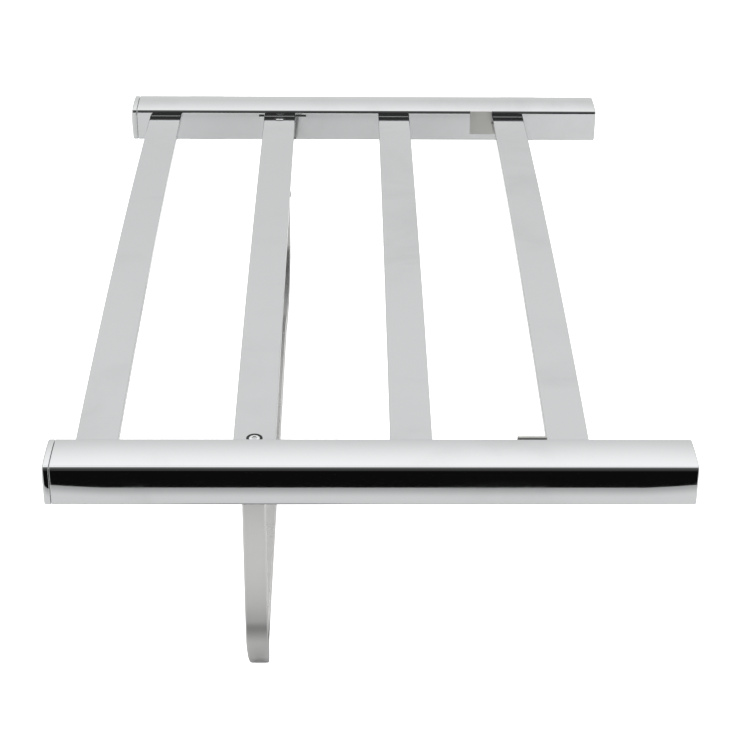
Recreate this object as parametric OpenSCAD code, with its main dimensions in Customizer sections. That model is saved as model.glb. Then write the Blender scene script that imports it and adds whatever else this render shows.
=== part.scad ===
// Folding luggage rack for a wall: four crowned flat slats between two tubular rails,
// a hinge on the wall side, and a flat-bar support bow that folds up under the slats.
// +Z is up, the wall is the plane Y = 0 and the front of the rack faces -Y.
// The origin is on the wall, at the middle of the four bolt holes.

/* [Rails] */
// Length of each rail with its end cap
rail_len = 303; // [260:1:420]
// Distance from the front rail's centre to the rear rail's
rail_span = 440; // [300:1:600]
// Front-to-back width of the rail section
rail_d = 27; // [20:0.5:36]
// Height of the rail section
rail_h = 22; // [19:0.5:30]
// Height that the rail's top and underside are crowned above their edges
rail_crown = 0.8; // [0.4:0.1:1.6]
// Corner radius of the rail section
rail_round = 2; // [1.8:0.1:4]
// Wall of the rail tube
rail_wall = 1.5; // [1:0.1:2.5]

/* [End caps] */
// Length of the left end caps outside the tube
cap_len = 5; // [3:0.5:8]
// Length of the spigot that holds a cap or plug in the tube
cap_spigot = 9; // [6:0.5:16]
// Gap between a spigot and the inside of the tube
cap_fit = 0.1; // [0.05:0.05:0.3]

/* [Slats] */
// Distance from one slat's centre to the next
slat_pitch = 74; // [60:1:84]
// Width of a slat
slat_w = 20; // [12:0.5:28]
// Thickness of a slat
slat_t = 4; // [3:0.5:5]
// Height that a slat's middle is crowned above its ends
slat_rise = 5.5; // [3:0.5:14]
// Height of a slat's ends above the middle of the rails
slat_up = 4.5; // [0:0.5:5]
// Rails' left end to the first slat's centre
slat_first = 23.5; // [16:0.5:30]
// Width of the tenon at each end of a slat
tenon_w = 14; // [8:0.5:18]
// Length of a slat's tenon
tenon_len = 6; // [4:0.5:8]
// Depth of the shoulder above and below a tenon
tenon_step = 0.2; // [0.1:0.1:0.5]
// Gap round a tenon in its slot
tenon_fit = 0.1; // [0.05:0.05:0.3]

/* [Support bow] */
// Width of the bow's legs
bow_w = 11; // [9:0.5:13]
// Width of the bow's run between its bends
bow_run_w = 7; // [6:0.5:9]
// Thickness of the bow's flat bar
bow_t = 4.5; // [3.5:0.5:5.5]
// Height from the bow's pivot down to the bottom of the bow
bow_drop = 116; // [100:1:135]
// Outer radius of the bow's bottom corners
bow_round = 50; // [25:1:60]
// Height from the rails' underside down to the bow's pivot
pivot_drop = 7; // [6.5:0.5:10]

/* [Bow brackets] */
// Width of a bow bracket
bracket_w = 10; // [8:0.5:10]
// Plate thickness of a bow bracket
bracket_t = 2; // [1.5:0.5:3]
// Thickness of the ear that carries the bow's pivot pin
pivot_ear_t = 5; // [4:0.5:7]
// Reach of the rear bracket's wing right of its slat
wing_right = 7; // [3:0.5:9]
// Reach of the rear bracket's wing left of its slat
wing_left = 3.5; // [2:0.5:6]
// Height that the rear bracket's wings reach above the middle of the rail
wing_up = 7; // [6:0.5:8.5]
// Rail face to a screw in the slat
screw_inset = 5.5; // [5:0.5:12]
// Radius of a slat screw's head
screw_head_r = 3.8; // [2.5:0.1:4]
// Radius of a slat screw's shank
screw_r = 2; // [1.5:0.1:2.2]

/* [Bow pivot] */
// Radius of a bow pivot pin
pivot_r = 2.5; // [2:0.1:2.8]
// Thickness of the nylon washer between the bow and its bracket
washer_t = 1; // [0.6:0.1:1.5]

/* [Slat angle plates] */
// Width of the angle plates beside the last slat
angle_w = 14; // [8:0.5:18]
// Thickness of the angle plates
angle_t = 1.6; // [1:0.2:2.4]
// Height that an angle plate reaches above the middle of the rail
angle_up = 10.5; // [6:0.5:11]
// Depth that an angle plate reaches below the middle of the rail
angle_down = 5; // [4:0.5:7]

/* [Wall buffer] */
// Height of the buffer above the bend of the bow's rear leg
buffer_up = 12; // [10:1:20]
// Radius of the rubber buffer
buffer_r = 5; // [4.5:0.5:12]
// Thickness of the rubber buffer
buffer_t = 8; // [5:0.5:12]
// Radius of the buffer's threaded stem
stem_r = 2.5; // [2:0.1:2.8]

/* [Wall hinge] */
// Distance between the wall brackets' centres
wall_spacing = 210; // [160:1:230]
// Distance from the wall to the hinge axis
hinge_out = 20; // [19:0.5:26]
// Radius of the hinge pins
hinge_r = 3; // [2.5:0.1:3.5]
// Width of the hinge lug on the rear rail
lug_w = 16; // [12:0.5:22]
// Side gap between the lug and each ear
lug_gap = 0.3; // [0.3:0.05:0.6]
// Thickness of each ear of a wall bracket
ear_t = 4; // [3:0.5:6]
// Gap between the level rear rail and the stops on the ears
stop_gap = 0.3; // [0.3:0.05:0.5]
// Thickness of the stops under the rear rail
stop_t = 3; // [2:0.5:4]

/* [Wall plate] */
// Width of a wall plate
plate_w = 30; // [26:1:40]
// Height of a wall plate
plate_h = 30; // [28:1:34]
// Thickness of a wall plate
plate_t = 4; // [3:0.5:5]
// Vertical distance between the two bolt holes of a wall plate
bolt_pitch = 16; // [14:1:18]
// Radius of the bolt holes
bolt_r = 2.75; // [2:0.05:2.8]
// Height from the bolt holes' middle up to the hinge axis and the rails' middle
bolt_drop = 16; // [15:0.5:20]

/* [Clearances] */
// Radial running clearance of every pin in its moving part
run_fit = 0.05; // [0.03:0.01:0.1]
// Gap kept between parts that pass each other
air = 0.3; // [0.3:0.05:0.5]

/* [Hidden] */

$fn = 64;
cut = 1; // overshoot of every cutting body

// rails
rail_half_d = rail_d / 2;
rail_half_h = rail_h / 2;
crown_r = (pow(rail_half_d, 2) + pow(rail_crown, 2)) / (2 * rail_crown);
lug_reach = 8; // hinge axis to the back face of the rear rail
rear_y = -hinge_out - lug_reach - rail_half_d;
front_y = rear_y - rail_span;
left_x = -rail_len / 2;
right_x = rail_len / 2;
tube_x0 = left_x + cap_len;
cap_step = 1; // dome step on the end caps
min_round = 0.3; // least corner radius inside the tube
plug_t = 3; // closed end of a plug
// a cap's spigot stops short of the first slat's tenon
cap_hold = min(cap_spigot, slat_first - cap_len - tenon_w / 2 - air);

// slats
slat_count = 4;
slat_x = [for (i = [0 : slat_count - 1]) left_x + slat_first + i * slat_pitch];
slat_y0 = front_y + rail_half_d;
slat_y1 = rear_y - rail_half_d;
slat_len = slat_y1 - slat_y0;
slat_mid_y = (slat_y0 + slat_y1) / 2;
slat_arc_r = (pow(slat_len / 2, 2) + pow(slat_rise, 2)) / (2 * slat_rise);
tenon_t = slat_t - 2 * tenon_step;
bow_slat = 1; // index of the slat above the bow
last_slat = slat_count - 1;

// bow
bow_x = slat_x[bow_slat];
pivot_z = -rail_half_h - pivot_drop;
bow_bottom = pivot_z - bow_drop;
bow_front_y = front_y - bow_t / 2;
bow_rear_y = rear_y + bow_t / 2;
bow_eye_r = bow_w / 2;
pin_skin = 1.2; // metal left over the blind bores for the pivot pins
pin_bite = pivot_ear_t - pin_skin; // length of pin inside the bracket's ear
pin_reach = bow_t - pin_skin; // length of pin inside the bow's leg
finger_t = 2; // stop finger beside the rear leg
finger_low = 10; // how far the finger reaches below the pivot
ear_reach = bow_t / 2 + washer_t; // rail centre to the near face of a pivot ear

// slat screws
screw_sink = 1.4; // depth that a screw's head is sunk in the slat
screw_proud = 0.3; // height that a screw's head stands proud of the slat
socket_floor = 0.7; // metal left under the hexagonal socket in a screw's head
pad_extra = 5; // bracket pad past the centre of its screw

// buffer
buffer_z = bow_bottom + bow_round + buffer_up;
nut_t = 4;
nut_r = stem_r * 1.9;
stem_head_t = 2;
stem_bite = 3; // length of stem inside the rubber pad

// wall hinge
ear_wall = 3.2; // metal round the hinge pin in an ear
ear_r = hinge_r + ear_wall;
ear_land = 1; // height of wall plate above the top of an ear's foot
lug_wall = 2.2; // metal round the hinge pin in a lug
lug_r = hinge_r + lug_wall;
stop_low = rail_half_h + stop_gap + stop_t; // hinge axis to the stops' underside
stop_reach = rail_half_d; // the stops end under the middle of the rail
plate_top = plate_h / 2 - bolt_drop; // top of a wall plate, from the hinge axis
pin_head_t = 2;
pin_head_r = hinge_r + 1.6;
clip_t = 1;
clip_groove = 0.5;
clip_rim = 1.8; // how far an open ring stands out round its pin
ear_out = lug_w / 2 + lug_gap + ear_t; // outer face of an ear from the bracket's middle
pin_tail = 3.5; // length of hinge pin past the outer ear
sink_depth = plate_t * 0.55;
sink_r = bolt_r + sink_depth;

// ---------- small helpers ----------

// rounded rectangle in the XY plane, centred
module round_rect(w, h, r) {
    square([w - 2 * r, h], center = true);
    square([w, h - 2 * r], center = true);
    for (sx = [-1, 1]) for (sy = [-1, 1])
        translate([sx * (w / 2 - r), sy * (h / 2 - r)]) circle(r);
}

// turns a drawing of (Y, Z) into a solid that runs along X from x0
module along_x(x0, len) {
    translate([x0, 0, 0]) rotate([90, 0, 90]) linear_extrude(height = len) children();
}

// cylinder along X or along Y that starts at the given point
module rod_x(x, y, z, r, len) {
    translate([x, y, z]) rotate([0, 90, 0]) cylinder(h = len, r = r);
}

module rod_y(x, y, z, r, len) {
    translate([x, y, z]) rotate([-90, 0, 0]) cylinder(h = len, r = r);
}

// box from its lowest corner and its sides
module block(corner, size) {
    translate(corner) cube(size);
}

// ---------- rails ----------

// flat front and back, crowned top and underside, small round corners
module rail_outline(grow = 0) {
    half_d = rail_half_d + grow;
    half_h = rail_half_h + grow;
    arc_r = crown_r + grow;
    arc_z = rail_half_h - crown_r;
    r = max(min_round, rail_round + grow);
    corner = [half_d - r, arc_z + sqrt(pow(arc_r - r, 2) - pow(half_d - r, 2))];
    lean = [corner[0], corner[1] - arc_z] / (arc_r - r);
    touch = corner + r * lean;
    difference() {
        intersection() {
            square([2 * half_d, 2 * half_h], center = true);
            translate([0, arc_z]) circle(arc_r, $fn = 360);
            translate([0, -arc_z]) circle(arc_r, $fn = 360);
        }
        for (my = [0, 1]) for (mz = [0, 1])
            mirror([my, 0]) mirror([0, mz])
                polygon([touch, [half_d, corner[1]], [half_d + cut, corner[1]],
                    [half_d + cut, half_h + cut], [touch[0], half_h + cut]]);
    }
    for (sy = [-1, 1]) for (sz = [-1, 1])
        translate([sy * corner[0], sz * corner[1]]) circle(r);
}

// side is +1 when the slats enter from +Y, -1 when they enter from -Y
module rail(y, side) {
    color("silver") difference() {
        along_x(tube_x0, right_x - tube_x0)
            translate([y, 0]) difference() {
                rail_outline();
                rail_outline(-rail_wall);
            }
        for (x = slat_x)
            translate([x, y + side * rail_half_d, slat_up])
                cube([tenon_w + 2 * tenon_fit, 2 * rail_wall + cut,
                    tenon_t + 2 * tenon_fit], center = true);
    }
}

module end_cap(y) {
    color("silver") {
        along_x(left_x + cap_step, cap_len - cap_step) translate([y, 0]) rail_outline();
        along_x(left_x, cap_step) translate([y, 0]) rail_outline(-cap_step);
        along_x(tube_x0, cap_hold) translate([y, 0]) rail_outline(-rail_wall - cap_fit);
    }
}

module end_plug(y) {
    color("silver") difference() {
        along_x(right_x - cap_spigot, cap_spigot)
            translate([y, 0]) rail_outline(-rail_wall - cap_fit);
        along_x(right_x - cap_spigot - cut, cap_spigot - plug_t + cut)
            translate([y, 0]) rail_outline(-2 * rail_wall - cap_fit);
    }
}

// ---------- slats ----------

// side view of a slat's crowned bar, between the two rail faces
module slat_side() {
    intersection() {
        translate([slat_y0, slat_up - slat_rise])
            square([slat_len, slat_t + 3 * slat_rise]);
        translate([slat_mid_y, slat_up + slat_rise - slat_arc_r]) difference() {
            circle(slat_arc_r + slat_t / 2, $fn = 720);
            circle(slat_arc_r - slat_t / 2, $fn = 720);
        }
    }
}

module slat_tenons(x) {
    for (y = [slat_y0 - tenon_len, slat_y1 - cut])
        block([x - tenon_w / 2, y, slat_up - tenon_t / 2],
            [tenon_w, tenon_len + cut, tenon_t]);
}

module slat(i) {
    color("gainsboro") difference() {
        union() {
            along_x(slat_x[i] - slat_w / 2, slat_w) slat_side();
            slat_tenons(slat_x[i]);
        }
        if (i == bow_slat) for (y = screw_y()) {
            translate([slat_x[i], y, slat_z(y) + slat_t / 2 - screw_sink])
                cylinder(h = slat_rise, r = screw_head_r + air / 3);
            translate([slat_x[i], y, slat_up - slat_rise])
                cylinder(h = 3 * slat_rise, r = screw_r + run_fit);
        }
    }
}

// height of a slat's middle plane at a given place along it
function slat_z(y) = slat_up + slat_rise - slat_arc_r
    + sqrt(pow(slat_arc_r, 2) - pow(y - slat_mid_y, 2));

function screw_y() = [slat_y0 + screw_inset, slat_y1 - screw_inset];

module slat_screw(y) {
    x = slat_x[bow_slat];
    seat = slat_z(y) + slat_t / 2 - screw_sink;
    tip = pad_z(y) - bracket_t;
    translate([x, y, seat]) difference() {
        cylinder(h = screw_sink + screw_proud, r = screw_head_r);
        translate([0, 0, socket_floor])
            cylinder(h = screw_sink + cut, r = screw_r * 0.7, $fn = 6);
    }
    translate([x, y, tip]) cylinder(h = seat - tip, r = screw_r);
}

// underside of the slat over a bracket pad, where the pad seats
function pad_z(y) = slat_z(y < slat_mid_y ? slat_y0 : slat_y1) - slat_t / 2;

// ---------- angle plates beside the last slat ----------

// a plate on the rail's face beside the slat, with a foot turned in under the slat
module angle_plate(face_y, side) {
    x1 = slat_x[last_slat] - slat_w / 2 - air;
    under = slat_up - slat_t / 2;
    tuck = slat_w / 2;
    y0 = min(face_y, face_y + side * angle_t);
    color("silver") {
        block([x1 - angle_w, y0, -angle_down], [angle_w, angle_t, angle_up + angle_down]);
        block([x1 - cut, y0, -angle_down], [tuck + cut, angle_t, angle_down + under]);
        block([x1 + air, min(face_y, face_y + side * angle_w), under - angle_t],
            [tuck - air, angle_w, angle_t]);
    }
}

// ---------- bow brackets ----------

// strap under the slat and the rail, with the pivot ear behind the bow's leg
module bow_bracket(rail_y, side, wings) {
    x0 = bow_x - bracket_w / 2;
    face_y = rail_y + side * rail_half_d;
    back_y = face_y + side * bracket_t;
    pad_len = screw_inset + pad_extra;
    pad_top = slat_up - slat_t / 2;
    under_z = -rail_half_h - bracket_t;
    ear_y = rail_y + side * ear_reach;
    ear_y0 = min(ear_y, ear_y + side * pivot_ear_t);
    color("silver") difference() {
        union() {
            block([x0, min(face_y, face_y + side * pad_len), pad_top - bracket_t],
                [bracket_w, pad_len, bracket_t]);
            block([x0, min(face_y, back_y), under_z],
                [bracket_w, bracket_t, pad_top - under_z]);
            block([x0, min(ear_y, back_y), under_z],
                [bracket_w, abs(back_y - ear_y), bracket_t]);
            along_y(ear_y0, pivot_ear_t) {
                translate([bow_x, pivot_z]) circle(bracket_w / 2);
                translate([x0, pivot_z]) square([bracket_w, -rail_half_h - pivot_z]);
            }
            if (wings) {
                along_y(min(face_y, back_y), bracket_t) wing_outline(pad_top);
                stop_finger(rail_y, side, ear_y0);
            }
        }
        rod_y(bow_x, min(ear_y - side * cut, ear_y + side * pin_bite), pivot_z,
            pivot_r, pin_bite + cut);
        translate([bow_x, face_y + side * screw_inset, pad_top - bracket_t - cut])
            cylinder(h = bracket_t + 2 * cut, r = screw_r);
    }
}

// tapered plate on the rail's face with a wing each side of the slat
module wing_outline(pad_top) {
    half = slat_w / 2 + tenon_fit;
    low = -rail_half_h + bracket_t;
    difference() {
        polygon([[bow_x - half - wing_left, wing_up], [bow_x - half, low],
            [bow_x + half, low], [bow_x + half + wing_right, wing_up]]);
        translate([bow_x - half, pad_top]) square([2 * half, wing_up - pad_top + cut]);
    }
}

// finger that stops the rear leg where it hangs straight down
module stop_finger(rail_y, side, ear_y0) {
    x1 = bow_x - bow_w / 2 - air;
    tip_y = rail_y - side * bow_t / 2;
    far_y = side < 0 ? ear_y0 : ear_y0 + pivot_ear_t;
    block([x1 - finger_t, min(tip_y, far_y), pivot_z - finger_low],
        [finger_t, abs(tip_y - far_y), finger_low - bracket_w / 4]);
    block([x1 - finger_t, ear_y0, pivot_z - finger_low],
        [bow_x - x1 + finger_t, pivot_ear_t, finger_low]);
}

// turns a drawing of (X, Z) into a solid that runs along Y from y0
module along_y(y0, len) {
    translate([0, y0 + len, 0]) rotate([90, 0, 0]) linear_extrude(height = len) children();
}

// plain pin between blind bores in the bracket's ear and the bow's leg
module bow_pin(rail_y, side) {
    outer = rail_y - side * (bow_t / 2 - pin_skin);
    len = pin_reach + washer_t + pin_bite;
    color("dimgray") rod_y(bow_x, min(outer, outer + side * len), pivot_z, pivot_r, len);
}

module bow_washer(rail_y, side) {
    y = rail_y + side * bow_t / 2;
    color("white") difference() {
        rod_y(bow_x, min(y, y + side * washer_t), pivot_z, bow_eye_r, washer_t);
        rod_y(bow_x, min(y, y + side * washer_t) - cut, pivot_z, pivot_r + run_fit,
            washer_t + 2 * cut);
    }
}

// ---------- support bow ----------

// side view of the bow, legs open at the top
module bow_side(inset) {
    y0 = bow_front_y + inset;
    y1 = bow_rear_y - inset;
    z0 = bow_bottom + inset;
    r = bow_round - inset;
    top = pivot_z + bow_eye_r + (inset > 0 ? cut : 0);
    translate([y0, z0 + r]) square([y1 - y0, top - z0 - r]);
    translate([y0 + r, z0]) square([y1 - y0 - 2 * r, r + cut]);
    for (y = [y0 + r, y1 - r]) translate([y, z0 + r]) circle(r, $fn = 96);
}

// top view of the bow: full width at the legs, tapering through the bends
module bow_plan() {
    leg = bow_w / 2;
    run = bow_run_w / 2;
    right = [[leg, bow_front_y - cut], [leg, bow_front_y + bow_t],
        [run, bow_front_y + bow_round], [run, bow_rear_y - bow_round],
        [leg, bow_rear_y - bow_t], [leg, bow_rear_y + cut]];
    left = [for (i = [len(right) - 1 : -1 : 0]) [-right[i][0], right[i][1]]];
    polygon(concat(right, left));
}

module support_bow() {
    color("silver") difference() {
        intersection() {
            translate([bow_x, 0, bow_bottom - cut])
                linear_extrude(height = pivot_z + bow_eye_r - bow_bottom + 2 * cut)
                    bow_plan();
            along_x(bow_x - bow_w / 2, bow_w) difference() {
                bow_side(0);
                bow_side(bow_t);
            }
            along_y(bow_front_y - cut, bow_rear_y - bow_front_y + 2 * cut) {
                translate([bow_x, pivot_z]) circle(bow_eye_r);
                translate([bow_x - bow_w / 2 - cut, bow_bottom - cut])
                    square([bow_w + 2 * cut, pivot_z - bow_bottom + cut]);
            }
        }
        rod_y(bow_x, bow_front_y + pin_skin - air / 3, pivot_z, pivot_r + run_fit,
            bow_rear_y - bow_front_y - 2 * pin_skin + 2 * air / 3);
        rod_y(bow_x, bow_rear_y - bow_t - cut, buffer_z, stem_r, bow_t + 2 * cut);
    }
}

// ---------- wall buffer on the bow's rear leg ----------

module buffer_stem() {
    inner = bow_rear_y - bow_t;
    reach = -air - buffer_t + stem_bite;
    color("silver") {
        rod_y(bow_x, inner, buffer_z, stem_r, reach - inner);
        rod_y(bow_x, inner - stem_head_t, buffer_z, nut_r * 0.85, stem_head_t);
    }
}

module buffer_nut() {
    color("silver") translate([bow_x, bow_rear_y, buffer_z]) rotate([-90, 0, 0])
        difference() {
            cylinder(h = nut_t, r = nut_r, $fn = 6);
            translate([0, 0, -cut]) cylinder(h = nut_t + 2 * cut, r = stem_r);
        }
}

module buffer_pad() {
    color("black") difference() {
        union() {
            rod_y(bow_x, -air - buffer_t / 2, buffer_z, buffer_r, buffer_t / 2);
            rod_y(bow_x, -air - buffer_t, buffer_z, buffer_r * 0.82, buffer_t / 2);
        }
        rod_y(bow_x, -air - buffer_t - cut, buffer_z, stem_r, stem_bite + cut);
    }
}

// ---------- wall hinge ----------

// side view of a wall bracket's ear, with the stop that the rail rests on
module ear_side() {
    face = hinge_out + lug_reach - stop_gap;
    tip = hinge_out + lug_reach + stop_reach;
    difference() {
        union() {
            translate([-hinge_out, 0]) circle(ear_r);
            polygon([[-hinge_out, ear_r], [-hinge_out, -ear_r], [-plate_t, -ear_r],
                [-plate_t, plate_top - ear_land]]);
            translate([-face, -stop_low]) square([face - plate_t, stop_low - ear_r / 2]);
            translate([-tip, -stop_low]) square([tip - plate_t, stop_t]);
        }
        translate([-hinge_out, 0]) circle(hinge_r);
    }
}

module wall_bracket(x) {
    color("silver") {
        difference() {
            translate([x, 0, -bolt_drop]) rotate([90, 0, 0])
                linear_extrude(height = plate_t) round_rect(plate_w, plate_h, plate_t);
            for (z = [-bolt_drop - bolt_pitch / 2, -bolt_drop + bolt_pitch / 2]) {
                rod_y(x, -plate_t - cut, z, bolt_r, plate_t + 2 * cut);
                translate([x, -plate_t, z]) rotate([-90, 0, 0])
                    cylinder(h = sink_depth, r1 = sink_r, r2 = bolt_r);
            }
        }
        for (s = [-1, 1])
            along_x(x + (s < 0 ? -ear_out : ear_out - ear_t), ear_t) ear_side();
    }
}

module rail_lug(x) {
    color("silver") along_x(x - lug_w / 2, lug_w) translate([-hinge_out, 0]) difference() {
        union() {
            circle(lug_r);
            translate([-lug_reach, -lug_r]) square([lug_reach, 2 * lug_r]);
        }
        circle(hinge_r + run_fit);
    }
}

module hinge_pin(x) {
    shank = 2 * ear_out + pin_tail;
    color("dimgray") difference() {
        union() {
            rod_x(x - ear_out, -hinge_out, 0, hinge_r, shank);
            rod_x(x - ear_out - pin_head_t, -hinge_out, 0, pin_head_r, pin_head_t);
        }
        difference() {
            rod_x(x + ear_out, -hinge_out, 0, hinge_r + cut, clip_t);
            rod_x(x + ear_out - cut, -hinge_out, 0, hinge_r - clip_groove,
                clip_t + 2 * cut);
        }
    }
}

// open ring in the groove at the end of a hinge pin
module circlip(x) {
    color("dimgray") difference() {
        rod_x(x + ear_out, -hinge_out, 0, hinge_r + clip_rim, clip_t);
        rod_x(x + ear_out - cut, -hinge_out, 0, hinge_r - clip_groove,
            clip_t + 2 * cut);
        block([x + ear_out - cut, -hinge_out - hinge_r * 0.7, -hinge_r - 2 * cut],
            [clip_t + 2 * cut, hinge_r * 1.4, hinge_r + cut]);
    }
}

// ---------- nodes ----------

wall_x = wall_spacing / 2;

// the rails' middle is bolt_drop above the origin
translate([0, 0, bolt_drop]) {
    wall_bracket(-wall_x);  // wall_bracket_left
    wall_bracket(wall_x);  // wall_bracket_right
    hinge_pin(-wall_x);  // hinge_pin_left
    hinge_pin(wall_x);  // hinge_pin_right
    for (s = [-1, 1]) circlip(s * wall_x);  // hinge_circlips
    rail_lug(-wall_x);  // rail_lug_left
    rail_lug(wall_x);  // rail_lug_right
    rail(front_y, 1);  // front_rail
    rail(rear_y, -1);  // rear_rail
    end_cap(front_y);  // cap_front_left
    end_cap(rear_y);  // cap_rear_left
    end_plug(front_y);  // plug_front_right
    end_plug(rear_y);  // plug_rear_right
    slat(0);  // slat_1
    slat(1);  // slat_2
    slat(2);  // slat_3
    slat(3);  // slat_4
    color("dimgray") for (y = screw_y()) slat_screw(y);  // slat_screws
    angle_plate(slat_y0, 1);  // angle_plate_front
    angle_plate(slat_y1, -1);  // angle_plate_rear
    bow_bracket(front_y, 1, false);  // bow_bracket_front
    bow_bracket(rear_y, -1, true);  // bow_bracket_rear
    support_bow();
    bow_pin(front_y, 1);  // bow_pin_front
    bow_pin(rear_y, -1);  // bow_pin_rear
    union() {  // bow_washers
        bow_washer(front_y, 1);
        bow_washer(rear_y, -1);
    }
    buffer_stem();
    buffer_nut();
    buffer_pad();
}
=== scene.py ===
# %% [markdown]
# # A folding luggage rack in chrome
# The rack is four crowned flat bars between two tubular rails. It hinges on two wall
# brackets, and a flat-bar bow hangs under the second slat. Chrome shows nothing but its
# surroundings, so two things decide the picture: exact, smooth curves, and a studio whose
# light and dark parts fall where a real studio's would. The moving frame comes from the
# CAD model. This script puts fine surfaces over it, in the same place and at the same size.

import math

import bmesh
import bpy
from mathutils import Matrix, Vector


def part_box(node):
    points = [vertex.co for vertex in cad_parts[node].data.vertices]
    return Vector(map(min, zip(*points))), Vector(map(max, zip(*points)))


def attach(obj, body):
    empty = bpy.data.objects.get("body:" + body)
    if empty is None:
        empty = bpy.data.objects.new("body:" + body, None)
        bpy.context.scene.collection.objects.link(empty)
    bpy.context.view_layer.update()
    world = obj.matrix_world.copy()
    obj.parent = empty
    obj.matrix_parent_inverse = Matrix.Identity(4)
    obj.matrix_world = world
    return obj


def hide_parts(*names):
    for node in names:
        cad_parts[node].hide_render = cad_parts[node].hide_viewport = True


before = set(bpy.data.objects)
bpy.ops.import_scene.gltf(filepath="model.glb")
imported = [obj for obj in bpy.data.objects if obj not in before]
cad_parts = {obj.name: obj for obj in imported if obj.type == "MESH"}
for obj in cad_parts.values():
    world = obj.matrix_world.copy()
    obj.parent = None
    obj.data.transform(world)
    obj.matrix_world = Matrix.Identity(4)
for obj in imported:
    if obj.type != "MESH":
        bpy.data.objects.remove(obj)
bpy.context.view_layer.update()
MM = 0.001

# %% [markdown]
# ## Sizes
# Places on the rack are read from the CAD nodes' own boxes, so that the surfaces stay on the
# frame when a size changes. Only what a box can't tell is typed, such as how round an edge is.

# %% Read sizes from the nodes


def node_box(name):
    """Lowest and highest corner of a CAD node."""
    a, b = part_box(name)
    return Vector(a), Vector(b)


rail_lo, rail_hi = node_box("front_rail")
back_lo, back_hi = node_box("rear_rail")
half_depth = (rail_hi.y - rail_lo.y) / 2
half_height = (rail_hi.z - rail_lo.z) / 2
front_y = (rail_lo.y + rail_hi.y) / 2
back_y = (back_lo.y + back_hi.y) / 2
rail_z = (rail_lo.z + rail_hi.z) / 2
tube_start, tube_end = rail_lo.x, rail_hi.x
cap_end = node_box("cap_front_left")[0].x
tube_wall = 1.5 * MM
print("rail section", round(half_depth * 2000, 2), "x", round(half_height * 2000, 2), "mm")
print("rails at y =", round(front_y * 1000, 1), "and", round(back_y * 1000, 1), "mm")

# %% [markdown]
# ## Meshes from rings
# Most pieces here are one outline carried along a path: a tube, a cap or a bent bar. A loft
# joins a row of rings that have the same number of points. The bent bar's outline has an
# extra point on each side of every corner, so that its flats stay truly flat when the mesh
# is shaded smooth. On chrome, those points are the difference between a straight reflection
# and a wavy one.

# %% Helpers that make and place meshes

SAME_PLACE = 1e-7  # points nearer than this, in metres, become one


def new_object(name, data):
    """An object in the scene, at the origin."""
    obj = bpy.data.objects.new(name, data)
    bpy.context.scene.collection.objects.link(obj)
    return obj


def make_object(name, verts, faces, body, material, replaces=()):
    """A smooth-shaded mesh that rides on a body and stands for CAD nodes."""
    mesh = bpy.data.meshes.new(name)
    mesh.from_pydata([tuple(v) for v in verts], [], faces)
    mesh.validate()
    return finish_object(new_object(name, mesh), body, material, replaces)


def finish_object(obj, body, material, replaces=(), sharp=35):
    """Outward normals, smooth shading, a material, and a place on the frame."""
    bm = bmesh.new()
    bm.from_mesh(obj.data)
    bmesh.ops.remove_doubles(bm, verts=bm.verts, dist=SAME_PLACE)
    bmesh.ops.recalc_face_normals(bm, faces=bm.faces)
    bm.to_mesh(obj.data)
    bm.free()
    obj.data.polygons.foreach_set("use_smooth", [True] * len(obj.data.polygons))
    obj.data.set_sharp_from_angle(angle=math.radians(sharp))
    obj.data.materials.clear()
    obj.data.materials.append(material)
    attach(obj, body)
    if replaces:
        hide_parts(*replaces)
    return obj


def loft(rings, closed=False):
    """Vertices and faces that join a row of rings.

    A closed row joins its last ring to its first; otherwise the ends are filled with fans."""
    count = len(rings[0])
    verts = [p for ring in rings for p in ring]
    faces = []
    rows = len(rings)
    for i in range(rows if closed else rows - 1):
        a, b = i * count, ((i + 1) % rows) * count
        for k in range(count):
            n = (k + 1) % count
            faces.append((a + k, a + n, b + n, b + k))
    if not closed:
        for start in (0, (rows - 1) * count):
            ring = verts[start : start + count]
            centre = sum((Vector(p) for p in ring), Vector()) / count
            verts.append(centre)
            middle = len(verts) - 1
            for k in range(count):
                faces.append((start + k, start + (k + 1) % count, middle))
    return verts, faces


def joined(parts):
    """Several sets of vertices and faces as one."""
    verts, faces = [], []
    for part_verts, part_faces in parts:
        faces += [tuple(i + len(verts) for i in face) for face in part_faces]
        verts += part_verts
    return verts, faces


def triangles(obj):
    """How many triangles an object has."""
    return sum(len(p.vertices) - 2 for p in obj.data.polygons)


print("helpers ready")

# %% [markdown]
# ## Shader groups
# Real chrome isn't a perfect mirror. Hands leave faint smears, and cloths leave hair-fine
# marks along a bar. A painted image could show both, but each piece would need a layout
# for it. Noise in the object's own coordinates fits any shape. Each effect is a node group,
# so that every metal can use it with its own values. The groups put out roughness, masks
# and heights only; the Principled BSDF stays in the material.

# %% Group: smears

SMEAR_STARTS = (0.46, 0.76)  # the noise where a smear begins and where it is full


def new_group(name, inputs, outputs):
    """An empty shader group with named sockets, and its two end nodes."""
    group = bpy.data.node_groups.new(name, "ShaderNodeTree")
    for label, kind, value in inputs:
        socket = group.interface.new_socket(label, in_out="INPUT", socket_type=kind)
        if value is not None:
            socket.default_value = value
    for label, kind in outputs:
        group.interface.new_socket(label, in_out="OUTPUT", socket_type=kind)
    source = group.nodes.new("NodeGroupInput")
    sink = group.nodes.new("NodeGroupOutput")
    source.location, sink.location = (-900, 0), (700, 0)
    return group, source, sink


def feed(tree, node, inputs):
    """Gives inputs of a node, by name or number, a socket or a plain value."""
    for label, value in inputs.items():
        if isinstance(value, bpy.types.NodeSocket):
            tree.links.new(value, node.inputs[label])
        else:
            node.inputs[label].default_value = value


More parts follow.
